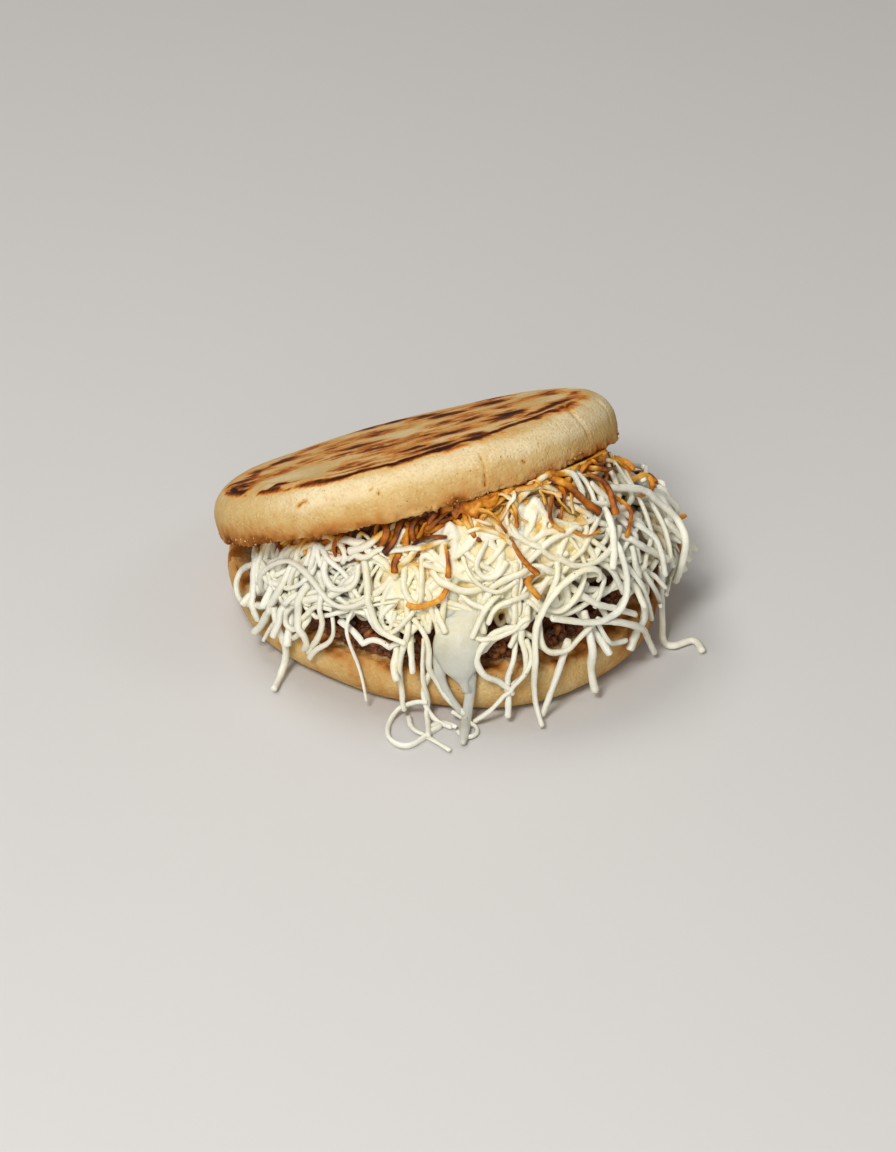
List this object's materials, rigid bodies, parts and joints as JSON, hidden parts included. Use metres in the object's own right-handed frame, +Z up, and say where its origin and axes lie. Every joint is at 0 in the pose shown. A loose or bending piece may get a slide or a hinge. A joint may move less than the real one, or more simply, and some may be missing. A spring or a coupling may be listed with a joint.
{
  "type": "arepa corn cake",
  "caption": "Round griddled corn cake split open and tipped up over minced beef and a tall heap of grated white cheese, with shreds spilling over its rim.",
  "frame": {"origin": "middle of the lower half's flat underside, where it stands on the table", "axes": "+Z up from the table; the tipped upper half opens towards -Y and +X, and its hinge side is towards +Y and -X"},
  "size_m": [0.1448, 0.1429, 0.0829],
  "materials": {
    "bread_lower": "matte golden crust with a browned cut edge",
    "beef": "moist rough minced meat",
    "cheese": "soft satin grated cheese",
    "cheese_browned": "crisp golden to brown toasted cheese",
    "bread_upper": "matte pale crust with dark griddle streaks on top"
  },
  "bodies": {
    "root": {"lower_half": "bread_lower", "beef_filling": "beef", "cheese_heap": "cheese", "browned_cheese": "cheese_browned", "upper_half": "bread_upper"}
  },
  "joints": []
}
